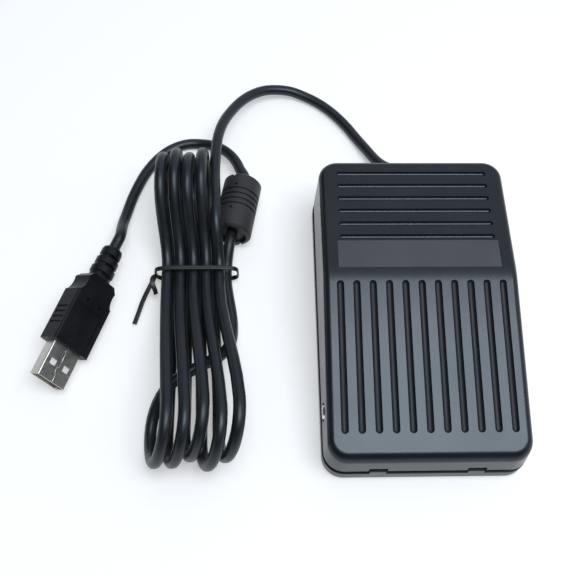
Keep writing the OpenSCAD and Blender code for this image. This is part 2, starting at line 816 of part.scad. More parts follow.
// The tie: a rounded ring that leans across the waist, and its twisted end
tie_half_w = (loop_n + 1) / 2 * waist_step + cord_r - waist_step / 2 + tie_d;
tie_high = waist_z + row_step + cord_r + tie_d + 0.25;
tie_low = tie_d / 2 + floor_gap;
tie_lean = -0.1;
tie_round = 4.5;
tie_mid = [hank_x + waist_step / 4, waist_y, (tie_high + tie_low) / 2];
tie_left = tie_mid - [tie_half_w, 0, 0];
tie_open = 4;
tie_end = [tie_left + [0.3, 0.4, 0], tie_left + [-0.6, -2.2, -0.1], [-92, 13.2, 4.6], [-93.8, 9.6, 3],
    [-95.2, 5.6, 1.7], [-96.4, 1.8, 1.2]];
module hank_tie() {
    half_h = (tie_high - tie_low) / 2;
    steps = 36;
    ring = [for (i = [0 : steps])
        let (a = 180 + tie_open + (360 - 2 * tie_open) * i / steps, c = cos(a), s = sin(a),
            k = pow(pow(abs(c), tie_round) + pow(abs(s), tie_round), -1 / tie_round))
        tie_mid + k * [tie_half_w * c, tie_lean * half_h * s, half_h * s]];
    color("#101010") {
        tube(ring, tie_d / 2, 6, [0, 1, 0]);
        tube(through(tie_end, 2), tie_d * 0.8, 6, [0, 0, 1]);
    }
}

module at_bead() {
    translate(bead_mid)
        rotate([0, 0, -bead_turn])
            rotate([-90 - bead_tilt, 0, 0])
                children();
}

core_d = 10.6;
core_l = 18;
module ferrite_cover() {
    half = bead_l / 2;
    mouth_r = 5.4;
    mouth_deep = 1.6;
    notch_turn = -25;
    bore = cord_r + floor_gap;
    color("#19191a")
    at_bead()
        difference() {
            rotate_extrude()
                difference() {
                    polygon([[bore, mouth_deep - half], [mouth_r, mouth_deep - half], [mouth_r, -half],
                        [bead_d / 2 - 0.8, -half], [bead_d / 2, 0.8 - half], [bead_d / 2, half - 0.8],
                        [bead_d / 2 - 0.8, half], [mouth_r, half], [mouth_r, half - mouth_deep],
                        [bore, half - mouth_deep]]);
                    translate([0, -core_l / 2])
                        square([core_d / 2, core_l]);
                    for (i = [-1.5 : 1 : 1.5])
                        translate([bead_d / 2 - 0.5, i * 2.24 + 1.4 - 0.35])
                            square([1, 0.7]);
                }
            rotate([0, 0, notch_turn])
                for (end = [-1, 1], side = [-1, 1])
                    translate([0, side * bead_d / 2, end * half])
                        rotate([0, 45, 0])
                            cube([2.1, 6, 2.1], center = true);
            rotate([0, 0, notch_turn / 2])
                for (z = [-4, 6.4])
                    translate([0, -bead_d / 2, z])
                        rotate([90, 0, 0])
                            cylinder(d = 1.1, h = 2, center = true);
        }
}

module ferrite_core() {
    color("#3a3a3c")
    at_bead()
        difference() {
            cylinder(d = core_d, h = core_l, center = true);
            cylinder(d = cord_d + 2 * floor_gap, h = core_l + 2, center = true);
        }
}

// Plug, drawn from its tip along local Y

module at_plug() {
    translate(plug_tip)
        rotate([0, 0, -plug_turn])
            rotate([0, plug_roll, 0])
                children();
}

module upright_block(w, h, r, l) {
    rotate([-90, 0, 0])
        block(h, w, r, l);
}

usb_in = 5;
module plug_shell() {
    color("gainsboro")
    at_plug()
        difference() {
            upright_block(usb_w, usb_h, 0.5, usb_l + usb_in);
            translate([0, -1, 0])
                upright_block(usb_w - 2 * usb_t, usb_h - 2 * usb_t, 0.2, usb_l + usb_in + 2);
            for (x = [-1, 1])
                translate([x * 2.9 - 1.1, 5, -usb_h])
                    cube([2.2, 2, 2 * usb_h]);
        }
}

tongue_t = 1.9;
module plug_tongue() {
    color("white")
    at_plug()
        translate([-usb_w / 2 + usb_t + 0.3, 0.6, usb_h / 2 - usb_t - tongue_t])
            cube([usb_w - 2 * usb_t - 0.6, usb_l + usb_in - 0.6, tongue_t]);
}

module plug_contacts() {
    color("gold")
    at_plug()
        for (x = [-3.5, -1, 1, 3.5])
            translate([x - 0.5, 1.6, usb_h / 2 - usb_t - tongue_t - 0.2])
                cube([1, 9, 0.2]);
}

// Points of the arc from a to b that bows by rise to the left of its way
function bow(a, b, rise, steps) =
    let (half = norm(b - a) / 2, r = (half * half + rise * rise) / (2 * rise), w = unit(b - a),
        left = [-w[1], w[0]], mid = (a + b) / 2 - left * (r - rise), turn = asin(half / r))
    [for (i = [0 : steps])
        let (t = turn * (2 * i / steps - 1))
        mid + r * (sin(t) * w + cos(t) * left)];

// The grip's broad block, the collar that it sweeps in to, and the slotted strain relief behind
module plug_grip() {
    back = usb_l + grip_l;
    neck = back + shoulder_l;
    edge = 0.8;
    chamfer = 2;
    waist_deep = 1.5;
    bore = cord_r + floor_gap;
    rib_w = (relief_l - 2.1) / 3;
    slot_l = 5.4;
    slot_deep = 1.3;
    ribs = [for (i = [0 : 2]) let (y = 1.3 + i * rib_w, r = 4.3 - 0.3 * i)
        each [[r - 0.4, y], [r - 0.4, y + 0.9], [r, y + 1.2], [r, y + rib_w - 0.4]]];
    side = concat(bow([grip_w / 2, back - eps], [collar_w / 2, neck - chamfer], waist_deep, 12),
        [[collar_w / 2 - chamfer * 0.8, neck]]);
    color("#1c1d1f")
    at_plug()
        difference() {
            union() {
                translate([0, usb_l, 0])
                    upright_block(grip_w, grip_h, edge, grip_l);
                linear_extrude(grip_h - 0.5, center = true)
                    polygon(concat(side, [for (i = [len(side) - 1 : -1 : 0]) [-side[i][0], side[i][1]]]));
                along_y(0, neck, 0)
                    rotate_extrude()
                        polygon(concat([[0, -0.5], [3.9, -0.5]], ribs,
                            [[3.4, relief_l - 0.3], [3, relief_l], [0, relief_l]]));
            }
            for (i = [0 : 2], z = [-1, 1])
                translate([0, neck + 1.75 + i * rib_w, z * (4.3 - 0.3 * i)])
                    cube([slot_l, 1, 2 * slot_deep], center = true);
            translate([0, usb_l - 1, 0])
                upright_block(usb_w, usb_h, 0.5, usb_in + 1);
            along_y(0, plug_l - 5.2, 0)
                cylinder(r = bore, h = 6);
            for (x = [-1, 1], i = [0 : 3])
                translate([x * grip_w / 2, usb_l + 6 + i * 2, 0])
                    cube([0.7, 0.8, grip_h * 0.62], center = true);
            for (x = [-1, 1])
                translate([x * 2.9, back - 1.6, grip_h / 2 - 1])
                    cylinder(d = 1.1, h = 2);
            translate([-grip_w / 2 + 2.4, usb_l + 2.4, grip_h / 2 - 0.2])
                cube([grip_w - 4.8, grip_l - 6.4, 1]);
        }
}

base_tray();
rubber_feet();
pivot_screw_left();
pivot_screw_right();
circuit_board();
board_screws();
controller_chip();
crystal_can();
capacitors();
optical_switch();
cable_header();
cable_wires();
cable_clamp();
clamp_screws();
cable_bushing();
return_spring_left();
return_spring_right();
pedal_shell();
label_film();
cord_lead();
cord_hank();
cord_tail();
hank_tie();
ferrite_cover();
ferrite_core();
plug_grip();
plug_shell();
plug_tongue();
plug_contacts();
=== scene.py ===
import json
import math

import bpy
from mathutils import Matrix, Vector

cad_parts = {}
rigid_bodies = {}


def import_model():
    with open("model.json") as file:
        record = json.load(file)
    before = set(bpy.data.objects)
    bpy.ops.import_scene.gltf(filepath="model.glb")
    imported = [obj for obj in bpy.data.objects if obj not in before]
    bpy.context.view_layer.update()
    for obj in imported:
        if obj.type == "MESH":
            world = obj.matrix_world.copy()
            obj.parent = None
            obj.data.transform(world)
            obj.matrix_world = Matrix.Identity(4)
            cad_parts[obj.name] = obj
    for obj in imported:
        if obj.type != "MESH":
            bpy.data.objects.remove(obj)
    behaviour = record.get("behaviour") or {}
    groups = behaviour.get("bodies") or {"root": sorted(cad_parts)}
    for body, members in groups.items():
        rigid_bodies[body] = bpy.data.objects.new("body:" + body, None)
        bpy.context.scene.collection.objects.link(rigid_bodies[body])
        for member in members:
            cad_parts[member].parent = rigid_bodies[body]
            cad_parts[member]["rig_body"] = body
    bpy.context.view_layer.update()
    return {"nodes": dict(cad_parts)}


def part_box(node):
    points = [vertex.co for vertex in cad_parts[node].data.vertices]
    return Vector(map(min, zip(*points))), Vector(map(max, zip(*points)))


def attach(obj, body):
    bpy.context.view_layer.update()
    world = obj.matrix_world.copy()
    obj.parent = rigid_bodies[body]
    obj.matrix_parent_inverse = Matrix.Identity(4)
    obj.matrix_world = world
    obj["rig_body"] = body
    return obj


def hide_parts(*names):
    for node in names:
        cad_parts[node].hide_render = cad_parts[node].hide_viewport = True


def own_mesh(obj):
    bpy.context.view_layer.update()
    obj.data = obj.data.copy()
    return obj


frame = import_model()
nodes = frame["nodes"]
mm = 0.001
print("frame loaded:", len(nodes), "solids")


# camera

shot = {
    "eye": (-51.30, -116.86, 257.02),  # millimetres
    "right": (0.9995, -0.0183, 0.0246),
    "up": (0.0049, 0.8879, 0.4600),
    "back": (-0.0303, -0.4597, 0.8876),
    "focalPixels": 803.9,
    "framePixels": 576,
    "film": 36,
}


def placeCamera():
    data = bpy.data.cameras.new("shotCamera")
    data.sensor_fit = "HORIZONTAL"
    data.sensor_width = shot["film"]
    data.lens = shot["focalPixels"] / shot["framePixels"] * shot["film"]
    data.clip_start = 0.01
    data.clip_end = 20
    camera = bpy.data.objects.new("shotCamera", data)
    bpy.context.scene.collection.objects.link(camera)
    turn = Matrix((shot["right"], shot["up"], shot["back"])).transposed()
    camera.matrix_world = Matrix.Translation(Vector(shot["eye"]) * mm) @ turn.to_4x4()
    bpy.context.scene.camera = camera


placeCamera()
print("camera placed")


# the cord: nearly the solids' own route, sampled more finely

cordSpec = {
    "diameter": 4.0,
    "loops": 5,
    "bendRadius": 12.0,
    "waistStep": 4.55,
    "nearStep": 5.5,
    "farStep": 4.7,
    "lieHeight": 2.05,
    "waistLift": 1.7,
    "hankX": -76.0,
    "waistY": 19.3,
    "nearX": -69.5,
    "nearY": -37.7,
    "farX": -80.1,
    "farY": 49.8,
    "nearLean": 8.0,
    "nearTilt": 16.0,
    "farTilt": 30.0,
    "nearStagger": 1.6,
    "farStagger": 1.0,
    "nearPhase": (140, 200),  # degrees from loop to loop, and at the first
    "farPhase": (170, -60),
    "overBead": (-68, 35.5, 17.2),
    "overWay": (0.03, -0.97, -0.22),
    "crossOver": ((-81.4, -23, 8.65), (-66, -13.5, 8.65), (-62.2, 0, 3.65)),
    "crossWay": ((0.76, 0.62, 0.16), (0.8, 0.58, -0.12), (-0.04, 0.99, -0.06)),
    "beadMid": (-60.8, 45, 7.626),
    "beadTurn": 10.0,
    "beadTilt": 2.6,
    "beadLength": 23.5,
    "beadBefore": 2,  # straight cord at the bead's two ends
    "beadAfter": 3,
    "plugTip": (-122, -22.2, 8.7),
    "plugTurn": 19.5,
    "plugLength": 52.4,
    "plugStraight": (6, 3, -5),  # from the strain relief's end, the last one inside it
    "bendSteps": 14,
    "runSteps": 7,
    "routeSteps": 4,
}
flat = cordSpec["lieHeight"]
leadRoute = [
    (0, 40, 7), (0, 46, 7), (0, 52.7, 7), (0, 60.7, 7),
    (-0.9, 62.3, 6.8), (-2.9, 64.2, 6.2), (-5.4, 66.5, 5.2), (-8, 70.2, 4), (-11, 75.8, 2.9),
    (-14.4, 81.8, flat), (-18.4, 88.2, flat), (-23.3, 94.4, flat), (-28.7, 99.4, flat),
    (-34.6, 102.9, 2.4), (-41, 104.8, 3.4), (-49.4, 103.8, 5), (-55.2, 100.4, 6.4), (-60, 95, 8.2),
    (-63.8, 88.4, 10), (-66.6, 81.2, 12), (-68.2, 73.8, 13.4), (-68.8, 66.3, 14.2), (-69, 58.8, 14.6),
]
tailMiddle = [
    (-60, 63.6, 6.3), (-61.6, 67.6, 5.8), (-64, 71.6, 5), (-67.4, 75.2, 3.9), (-71.6, 77.8, 2.8),
    (-76.2, 79, flat), (-80.6, 78.9, flat), (-84.8, 77.5, flat), (-88.8, 74.9, flat),
    (-92.5, 70.9, flat), (-96, 65.4, flat), (-98.6, 59.3, flat), (-100.7, 52.8, flat),
    (-102, 46.4, 2.7), (-102.8, 40.2, 4.6),
]


def heading(degrees, dip=0):
    turn, fall = math.radians(degrees), math.radians(dip)
    return Vector((math.sin(turn) * math.cos(fall), math.cos(turn) * math.cos(fall), -math.sin(fall)))


def curveBetween(a, wayA, b, wayB, steps):
    a, b = Vector(a), Vector(b)
    reach = (b - a).length
    da, db = Vector(wayA) * reach, Vector(wayB) * reach
    found = []
    for i in range(1, steps + 1):
        t = i / steps
        found.append(
            a * (2 * t**3 - 3 * t * t + 1) + da * (t**3 - 2 * t * t + t)
            + b * (3 * t * t - 2 * t**3) + db * (t**3 - t * t)
        )
    return found


def curveThrough(route, steps):
    route = [Vector(p) for p in route]
    found = [route[0]]
    for i in range(len(route) - 1):
        a, b = route[i], route[i + 1]
        wayA = (b - (a if i == 0 else route[i - 1])).normalized()
        wayB = ((b if i == len(route) - 2 else route[i + 2]) - a).normalized()
        found += curveBetween(a, wayA, b, wayB, steps)
    return found


beadWay = heading(cordSpec["beadTurn"], cordSpec["beadTilt"])
beadMid = Vector(cordSpec["beadMid"])
beadIn = beadMid - beadWay * cordSpec["beadLength"] / 2
beadOut = beadMid + beadWay * cordSpec["beadLength"] / 2
plugTip = Vector(cordSpec["plugTip"])
plugWay = heading(cordSpec["plugTurn"])
plugEnd = plugTip + plugWay * cordSpec["plugLength"]
tailStart = beadIn - beadWay * cordSpec["beadBefore"]


def hankPoints():
    spec = cordSpec
    count, radius, step = spec["loops"], spec["bendRadius"], spec["waistStep"]
    steps, bendSteps = spec["runSteps"], spec["bendSteps"]
    waistZ = flat + spec["waistLift"]
    row = step * math.sqrt(3) / 2
    ahead = Vector((0, 1, 0))

    def nearAt(c):
        return spec["nearX"] + (c - (count - 1) / 2) * spec["nearStep"]

    def farAt(c):
        return spec["farX"] + (c - (count - 2) / 2) * spec["farStep"]

    def upperSlot(c):
        return Vector((spec["hankX"] + (c - (count - 1) / 2) * step, spec["waistY"], waistZ + row))

    def lowerSlot(c):
        return Vector((spec["hankX"] + (c - count / 2) * step, spec["waistY"], waistZ))

    def bendUp(upperX, lowerX):
        return Vector((upperX - lowerX, 0, 2 * radius)).normalized()

    def bend(upperX, lowerX, y, way, start, end):
        up = bendUp(upperX, lowerX)
        middle = Vector(((upperX + lowerX) / 2, y, flat + radius * up.z))
        found = []
        for i in range(bendSteps + 1):
            a = math.radians(start + (end - start) * i / bendSteps)
            found.append(middle + radius * (math.cos(a) * way * ahead + math.sin(a) * up))
        return found

    def nearBend(c):
        turn, first = spec["nearPhase"]
        y = spec["nearY"] + spec["nearStagger"] * math.sin(math.radians(turn * c + first))
        return bend(nearAt(c), nearAt(c) - spec["nearLean"], y, -1, 90 + spec["nearTilt"], -90)

    def farBend(c):
        turn, first = spec["farPhase"]
        y = spec["farY"] + spec["farStagger"] * math.sin(math.radians(turn * c + first))
        return bend(farAt(c), farAt(c), y, 1, -90, 90 + spec["farTilt"])

    def rise(c):
        a = math.radians(spec["nearTilt"])
        return -math.cos(a) * ahead + math.sin(a) * bendUp(nearAt(c), nearAt(c) - spec["nearLean"])

    tilt = math.radians(spec["farTilt"])
    fall = Vector((0, -math.cos(tilt), -math.sin(tilt)))
    leadEnd = Vector(leadRoute[-1])
    found = [leadEnd]
    for c in range(count - 1, -1, -1):
        near = nearBend(c)
        if c == count - 1:
            found += curveBetween(leadEnd, -ahead, spec["overBead"], spec["overWay"], steps)
            found += curveBetween(spec["overBead"], spec["overWay"], upperSlot(c), -ahead, steps)
        else:
            found += curveBetween(farBend(c)[-1], fall, upperSlot(c), -ahead, steps)
        found += curveBetween(upperSlot(c), -ahead, near[0], rise(c), steps)
        found += near[1:]
        if c == 0:
            places = [near[-1], *spec["crossOver"], lowerSlot(count), tailStart]
            ways = [ahead, *spec["crossWay"], ahead, beadWay]
            for i in range(len(places) - 1):
                found += curveBetween(places[i], ways[i], places[i + 1], ways[i + 1], steps)
        else:
            far = farBend(c - 1)
            found += curveBetween(near[-1], ahead, lowerSlot(c), ahead, steps)
            found += curveBetween(lowerSlot(c), ahead, far[0], ahead, steps)
            found += far[1:]
    return found


def wireCurve(name, line, thickness, sides=3, closed=False):
    data = bpy.data.curves.new(name, "CURVE")
    data.dimensions = "3D"
    data.bevel_depth = thickness
    data.bevel_resolution = sides
    data.resolution_u = 1
    data.use_fill_caps = not closed
    spline = data.splines.new("POLY")
    spline.points.add(len(line) - 1)
    for point, place in zip(spline.points, line):
        point.co = (*(Vector(place) * mm), 1)
    spline.use_cyclic_u = closed
    wire = bpy.data.objects.new(name, data)
    bpy.context.scene.collection.objects.link(wire)
    return wire


def layCord():
    spec, steps = cordSpec, cordSpec["routeSteps"]
    tailRoute = [tailStart, beadIn, beadMid, beadOut, beadOut + beadWay * spec["beadAfter"]] + tailMiddle
    tailRoute += [plugEnd + plugWay * reach for reach in spec["plugStraight"]]
    line = curveThrough(leadRoute, steps) + hankPoints()[1:] + curveThrough(tailRoute, steps)[1:]
    cord = wireCurve("cord", line, 1, sides=5)
    for point in cord.data.splines[0].points:
        point.radius = spec["diameter"] / 2 * mm  # the thickness is here, so the curve's box comes out true
    length = sum((b - a).length for a, b in zip(line, line[1:])) * mm
    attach(cord, "base")
    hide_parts("cord_lead", "cord_hank", "cord_tail")
    return cord, length


cord, cordLength = layCord()
print("cord laid: %.0f mm" % (cordLength / mm))


# finishes


def newGroup(name, inputs, outputs):
    group = bpy.data.node_groups.new(name, "ShaderNodeTree")
    for label, value in inputs:
        socket = group.interface.new_socket(name=label, in_out="INPUT", socket_type="NodeSocketFloat")
        socket.default_value = value
    for label, kind in outputs:
        group.interface.new_socket(name=label, in_out="OUTPUT", socket_type=kind)
    return group, group.nodes.new("NodeGroupInput"), group.nodes.new("NodeGroupOutput")


def buildGrainGroup():
    # fine spark grain of a moulded surface, and the broad cloudiness under it
    group, inside, out = newGroup("mouldGrain", [("Grain Scale", 2500), ("Cloud Scale", 60)],
                                  [("Grain", "NodeSocketFloat"), ("Cloud", "NodeSocketFloat")])
    place = group.nodes.new("ShaderNodeTexCoord")
    for label, detail, rough in (("Grain", 3, 0.65), ("Cloud", 4, 0.55)):
        noise = group.nodes.new("ShaderNodeTexNoise")
        noise.inputs["Detail"].default_value = detail
        noise.inputs["Roughness"].default_value = rough
        group.links.new(place.outputs["Object"], noise.inputs["Vector"])
        group.links.new(inside.outputs[label + " Scale"], noise.inputs["Scale"])
        group.links.new(noise.outputs["Fac"], out.inputs[label])
    return group


def buildDustGroup():
    # a sparse scatter of pale specks that gathers in patches
    group, inside, out = newGroup("settledDust", [("Speck Scale", 900), ("Cover", 0.3)],
                                  [("Mask", "NodeSocketFloat")])
    place = group.nodes.new("ShaderNodeTexCoord")
    cells = group.nodes.new("ShaderNodeTexVoronoi")
    cells.inputs["Randomness"].default_value = 1
    patch = group.nodes.new("ShaderNodeTexNoise")
    patch.inputs["Scale"].default_value = 90
    speck = group.nodes.new("ShaderNodeMapRange")
    speck.inputs["From Min"].default_value = 0.16
    speck.inputs["From Max"].default_value = 0.06
    where = group.nodes.new("ShaderNodeMapRange")
    where.inputs["From Min"].default_value = 0.52
    where.inputs["From Max"].default_value = 0.72
    both = group.nodes.new("ShaderNodeMath")
    both.operation = "MULTIPLY"
    amount = group.nodes.new("ShaderNodeMath")
    amount.operation = "MULTIPLY"
    link = group.links.new
    link(place.outputs["Object"], cells.inputs["Vector"])
    link(inside.outputs["Speck Scale"], cells.inputs["Scale"])
    link(place.outputs["Object"], patch.inputs["Vector"])
    link(cells.outputs["Distance"], speck.inputs["Value"])
    link(patch.outputs["Fac"], where.inputs["Value"])
    link(speck.outputs["Result"], both.inputs[0])
    link(where.outputs["Result"], both.inputs[1])
    link(both.outputs["Value"], amount.inputs[0])
    link(inside.outputs["Cover"], amount.inputs[1])
    link(amount.outputs["Value"], out.inputs["Mask"])
    return group


grainGroup = buildGrainGroup()
dustGroup = buildDustGroup()


def shadeMoulded(name, spec):
    # two tones by the cloudiness, specks of dust, roughness and bump by the grain
    material = bpy.data.materials.new(name)
    material.use_nodes = True
    tree = material.node_tree
    link = tree.links.new
    surface = tree.nodes["Principled BSDF"]
    surface.inputs["Metallic"].default_value = spec.get("metal", 0)
    surface.inputs["Specular IOR Level"].default_value = spec.get("specular", 0.5)
    surface.inputs["Specular Tint"].default_value = (*spec.get("tint", (1, 1, 1)), 1)
    if "coat" in spec:
        surface.inputs["Coat Weight"].default_value = spec["coat"]
        surface.inputs["Coat Roughness"].default_value = 0.1
    grain = tree.nodes.new("ShaderNodeGroup")
    grain.node_tree = grainGroup
    grain.inputs["Grain Scale"].default_value = spec["grainScale"]
    grain.inputs["Cloud Scale"].default_value = spec["cloudScale"]
    tone = tree.nodes.new("ShaderNodeMix")
    tone.data_type = "RGBA"
    tone.inputs["A"].default_value = (*spec["dark"], 1)
    tone.inputs["B"].default_value = (*spec["light"], 1)
    spread = tree.nodes.new("ShaderNodeMapRange")
    spread.inputs["From Min"].default_value = 0.35
    spread.inputs["From Max"].default_value = 0.65
    link(grain.outputs["Cloud"], spread.inputs["Value"])
    link(spread.outputs["Result"], tone.inputs["Factor"])
    colour = tone.outputs["Result"]
    if "dust" in spec:
        dust = tree.nodes.new("ShaderNodeGroup")
        dust.node_tree = dustGroup
        dust.inputs["Speck Scale"].default_value = spec.get("dustScale", 900)
        dust.inputs["Cover"].default_value = spec["dust"]
        over = tree.nodes.new("ShaderNodeMix")
        over.data_type = "RGBA"
        over.inputs["B"].default_value = (0.35, 0.35, 0.34, 1)
        link(dust.outputs["Mask"], over.inputs["Factor"])
        link(colour, over.inputs["A"])
        colour = over.outputs["Result"]
    link(colour, surface.inputs["Base Color"])
    rough = tree.nodes.new("ShaderNodeMapRange")
    rough.inputs["From Min"].default_value = 0.3
    rough.inputs["From Max"].default_value = 0.7
    rough.inputs["To Min"].default_value = spec["rough"][0]
    rough.inputs["To Max"].default_value = spec["rough"][1]
    link(grain.outputs["Cloud"], rough.inputs["Value"])
    link(rough.outputs["Result"], surface.inputs["Roughness"])
    bump = tree.nodes.new("ShaderNodeBump")
    bump.inputs["Strength"].default_value = spec["bump"]
    bump.inputs["Distance"].default_value = 0.05 * mm
    link(grain.outputs["Grain"], bump.inputs["Height"])
    link(bump.outputs["Normal"], surface.inputs["Normal"])
    return material


finishes = {
    "pedalPlastic": {"dark": (0.0078, 0.0092, 0.0125), "light": (0.0106, 0.0124, 0.0165), "rough": (0.24, 0.3),
                     "tint": (0.8, 0.9, 1), "grainScale": 2600, "cloudScale": 45, "bump": 0.35, "dust": 0.25},
    # the long grooves' finish: a coarser roughness, and a colour painted a little darker than the deck as shade
    # in the grooves
    "grooveShadedPlastic": {"dark": (0.0074, 0.0086, 0.0115), "light": (0.01, 0.0116, 0.0152), "rough": (0.5, 0.6),
                      "tint": (0.8, 0.9, 1), "grainScale": 2200, "cloudScale": 60, "bump": 0.3, "dust": 0.3},
    "trayPlastic": {"dark": (0.0085, 0.0095, 0.0115), "light": (0.0115, 0.0125, 0.0145), "rough": (0.3, 0.38),
                    "tint": (0.8, 0.9, 1), "grainScale": 2400, "cloudScale": 50, "bump": 0.35, "dust": 0.25},
    "labelFilm": {"dark": (0.042, 0.046, 0.054), "light": (0.05, 0.054, 0.062), "rough": (0.42, 0.5),
                  "grainScale": 4200, "cloudScale": 70, "bump": 0.3},
    "cordJacket": {"dark": (0.0066, 0.0078, 0.01), "light": (0.0096, 0.0112, 0.014), "rough": (0.34, 0.44),
                   "tint": (0.8, 0.9, 1), "grainScale": 1500, "cloudScale": 120, "bump": 0.25, "dust": 0.2,
                   "dustScale": 700},
    "beadPlastic": {"dark": (0.015, 0.0155, 0.017), "light": (0.021, 0.0215, 0.0235), "rough": (0.45, 0.56),
                    "grainScale": 2200, "cloudScale": 110, "bump": 0.4, "dust": 0.3},
    "gripPlastic": {"dark": (0.0055, 0.006, 0.0075), "light": (0.0085, 0.009, 0.011), "rough": (0.34, 0.44),
                    "specular": 0.2, "tint": (0.8, 0.9, 1), "grainScale": 2400, "cloudScale": 120, "bump": 0.35,
                    "dust": 0.25},
    "tieRibbon": {"dark": (0.007, 0.007, 0.0075), "light": (0.011, 0.011, 0.012), "rough": (0.36, 0.46),
                  "grainScale": 2000, "cloudScale": 200, "bump": 0.3},
    "footRubber": {"dark": (0.02, 0.02, 0.02), "light": (0.032, 0.031, 0.03), "rough": (0.75, 0.9),
                   "grainScale": 1400, "cloudScale": 90, "bump": 0.5, "dust": 0.5},
    "screwSteel": {"dark": (0.62, 0.62, 0.63), "light": (0.78, 0.78, 0.78), "rough": (0.16, 0.28), "metal": 1,
                   "grainScale": 1800, "cloudScale": 400, "bump": 0.15},
    "springSteel": {"dark": (0.42, 0.42, 0.43), "light": (0.58, 0.58, 0.58), "rough": (0.25, 0.38), "metal": 1,
                    "grainScale": 1500, "cloudScale": 300, "bump": 0.2},
    "boardMask": {"dark": (0.008, 0.075, 0.028), "light": (0.014, 0.12, 0.045), "rough": (0.28, 0.4),
                  "grainScale": 900, "cloudScale": 260, "bump": 0.3, "coat": 0.3},
    "chipEpoxy": {"dark": (0.012, 0.012, 0.013), "light": (0.02, 0.02, 0.021), "rough": (0.5, 0.62),
                  "grainScale": 3000, "cloudScale": 250, "bump": 0.4},
    "ceramicTan": {"dark": (0.26, 0.18, 0.1), "light": (0.42, 0.31, 0.19), "rough": (0.5, 0.65),
                   "grainScale": 2500, "cloudScale": 500, "bump": 0.4},
    "headerNylon": {"dark": (0.62, 0.57, 0.43), "light": (0.75, 0.71, 0.58), "rough": (0.4, 0.5),
                    "grainScale": 2000, "cloudScale": 150, "bump": 0.25},
    "wireJacket": {"dark": (0.32, 0.02, 0.015), "light": (0.45, 0.04, 0.03), "rough": (0.35, 0.45),
                   "grainScale": 1600, "cloudScale": 200, "bump": 0.25},
    "ferriteGrey": {"dark": (0.03, 0.03, 0.032), "light": (0.06, 0.06, 0.063), "rough": (0.55, 0.7),
                    "grainScale": 1800, "cloudScale": 300, "bump": 0.6},
    "plugSteel": {"dark": (0.6, 0.58, 0.545), "light": (0.68, 0.66, 0.62), "rough": (0.26, 0.34), "metal": 1,
                  "grainScale": 3400, "cloudScale": 700, "bump": 0.035},
    "tongueWhite": {"dark": (0.74, 0.74, 0.74), "light": (0.86, 0.86, 0.85), "rough": (0.4, 0.5),
                    "grainScale": 2000, "cloudScale": 200, "bump": 0.2},
    "contactGold": {"dark": (0.62, 0.42, 0.12), "light": (0.85, 0.62, 0.22), "rough": (0.18, 0.3), "metal": 1,
                    "grainScale": 1800, "cloudScale": 600, "bump": 0.15},
}
finish = {name: shadeMoulded(name, spec) for name, spec in finishes.items()}


def paint(piece, name):
    piece.data.materials.clear()
    piece.data.materials.append(finish[name])


print("finishes built:", len(finish))


# modelling helpers

weld = 0.002 * mm
roundSides = 48


def clearSelection():
    if bpy.context.object and bpy.context.object.mode != "OBJECT":
        bpy.ops.object.mode_set(mode="OBJECT")
    bpy.ops.object.select_all(action="DESELECT")


def pickOnly(*objects):
    clearSelection()
    for o in objects:
        o.select_set(True)
    bpy.context.view_layer.objects.active = objects[0]


def settle(piece):
    pickOnly(piece)
    bpy.ops.object.transform_apply(location=True, rotation=True, scale=True)


def applyModifier(piece, kind, **values):
    pickOnly(piece)
    modifier = piece.modifiers.new(kind.lower(), kind)
    for key, value in values.items():
        setattr(modifier, key, value)
    bpy.ops.object.modifier_apply(modifier=modifier.name)


def normalsBeside(mesh):
    found = {}
    for face in mesh.polygons:
        for key in face.edge_keys:
            found.setdefault(key, []).append(face.normal.copy())
    return found


def bevelWhere(piece, test, width, segments):
    pickOnly(piece)
    mesh = piece.data
    bpy.ops.object.mode_set(mode="EDIT")
    bpy.ops.mesh.select_mode(type="EDGE")
    bpy.ops.mesh.select_all(action="DESELECT")
    bpy.ops.object.mode_set(mode="OBJECT")
    normals = normalsBeside(mesh)
    for edge in mesh.edges:
        a, b = (mesh.vertices[i].co for i in edge.vertices)
        edge.select = bool(test(a, b, normals.get(tuple(sorted(edge.vertices)), [])))
    bpy.ops.object.mode_set(mode="EDIT")
    bpy.ops.mesh.bevel(offset_type="OFFSET", offset=width, segments=segments, profile=0.5,
                       affect="EDGES", clamp_overlap=True)
    bpy.ops.object.mode_set(mode="OBJECT")


def smoothBy(piece, degrees):
    pickOnly(piece)
    bpy.ops.object.shade_smooth_by_angle(angle=math.radians(degrees))
    applyModifier(piece, "WEIGHTED_NORMAL", keep_sharp=True, weight=80)


def curveToMesh(curve):
    pickOnly(curve)
    bpy.ops.object.convert(target="MESH")
    bpy.ops.object.mode_set(mode="EDIT")
    bpy.ops.mesh.select_all(action="SELECT")
    bpy.ops.mesh.remove_doubles(threshold=weld)  # the end caps join the tube
    bpy.ops.mesh.normals_make_consistent(inside=False)
    bpy.ops.object.mode_set(mode="OBJECT")
    return bpy.context.object


def splitWhere(piece, test):
    # many-sided faces become triangles, so that none folds over an opening
    pickOnly(piece)
    bpy.ops.object.mode_set(mode="EDIT")
    bpy.ops.mesh.select_mode(type="FACE")
    bpy.ops.mesh.select_all(action="DESELECT")
    bpy.ops.object.mode_set(mode="OBJECT")
    for face in piece.data.polygons:
        face.select = len(face.vertices) > 4 and test(face)
    bpy.ops.object.mode_set(mode="EDIT")
    bpy.ops.mesh.quads_convert_to_tris(ngon_method="BEAUTY")
    bpy.ops.object.mode_set(mode="OBJECT")


def boxCutter(low, high):
    clearSelection()
    bpy.ops.mesh.primitive_cube_add(size=1)
    cutter = bpy.context.object
    for vertex in cutter.data.vertices:
        vertex.co = [(l if c < 0 else h) * mm for c, l, h in zip(vertex.co, low, high)]
    return cutter


